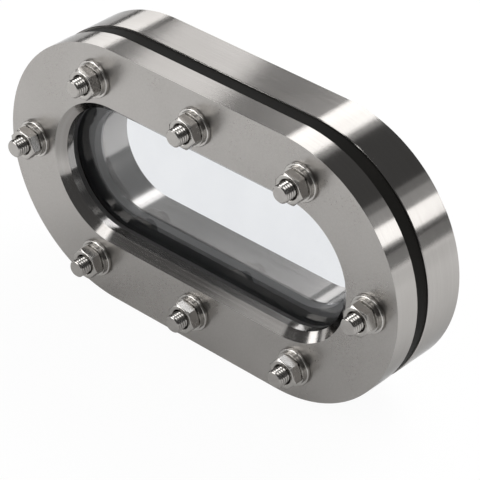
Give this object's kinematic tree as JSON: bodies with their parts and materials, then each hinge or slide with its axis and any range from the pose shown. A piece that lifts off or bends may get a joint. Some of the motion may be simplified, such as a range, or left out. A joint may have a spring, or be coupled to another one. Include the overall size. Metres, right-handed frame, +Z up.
{
  "type": "oval sight glass",
  "caption": "Obround sight glass: a bevelled cover flange clamps a thick glass pane between gaskets onto a weld-on base flange, held by studs, washers and nuts round the rim.",
  "frame": {"origin": "below the middle of the part, in the plane of the flanges' lower straights that it stands on", "axes": "+X along the long axis, +Z up along the short axis, -Y out of the front where the nuts are, +Y towards the vessel wall that the base flange is welded to"},
  "size_m": [0.308, 0.074, 0.175],
  "materials": {
    "flange_steel": "satin stainless steel with a polished window bevel",
    "spacer_rubber": "smooth black rubber",
    "seat_rubber": "smooth dark grey rubber",
    "sight_glass": "clear toughened glass with ground edges",
    "stud_steel": "bright stainless steel, threaded",
    "washer_steel": "bright stainless steel",
    "nut_steel": "bright stainless steel"
  },
  "bodies": {
    "root": {"base_flange": "flange_steel", "cover_flange": "flange_steel", "spacer_gasket": "spacer_rubber", "glass_pane": "sight_glass", "front_gasket": "seat_rubber", "rear_gasket": "seat_rubber", "stud_top_left": "stud_steel", "stud_top_middle": "stud_steel", "stud_top_right": "stud_steel", "stud_right_end": "stud_steel", "stud_bottom_right": "stud_steel", "stud_bottom_middle": "stud_steel", "stud_bottom_left": "stud_steel", "stud_left_end": "stud_steel", "flat_washer_top_left": "washer_steel", "flat_washer_top_middle": "washer_steel", "flat_washer_top_right": "washer_steel", "flat_washer_right_end": "washer_steel", "flat_washer_bottom_right": "washer_steel", "flat_washer_bottom_middle": "washer_steel", "flat_washer_bottom_left": "washer_steel", "flat_washer_left_end": "washer_steel", "spring_washer_top_left": "washer_steel", "spring_washer_top_middle": "washer_steel", "spring_washer_top_right": "washer_steel", "spring_washer_right_end": "washer_steel", "spring_washer_bottom_right": "washer_steel", "spring_washer_bottom_middle": "washer_steel", "spring_washer_bottom_left": "washer_steel", "spring_washer_left_end": "washer_steel", "nut_top_left": "nut_steel", "nut_top_middle": "nut_steel", "nut_top_right": "nut_steel", "nut_right_end": "nut_steel", "nut_bottom_right": "nut_steel", "nut_bottom_middle": "nut_steel", "nut_bottom_left": "nut_steel", "nut_left_end": "nut_steel"}
  },
  "joints": []
}
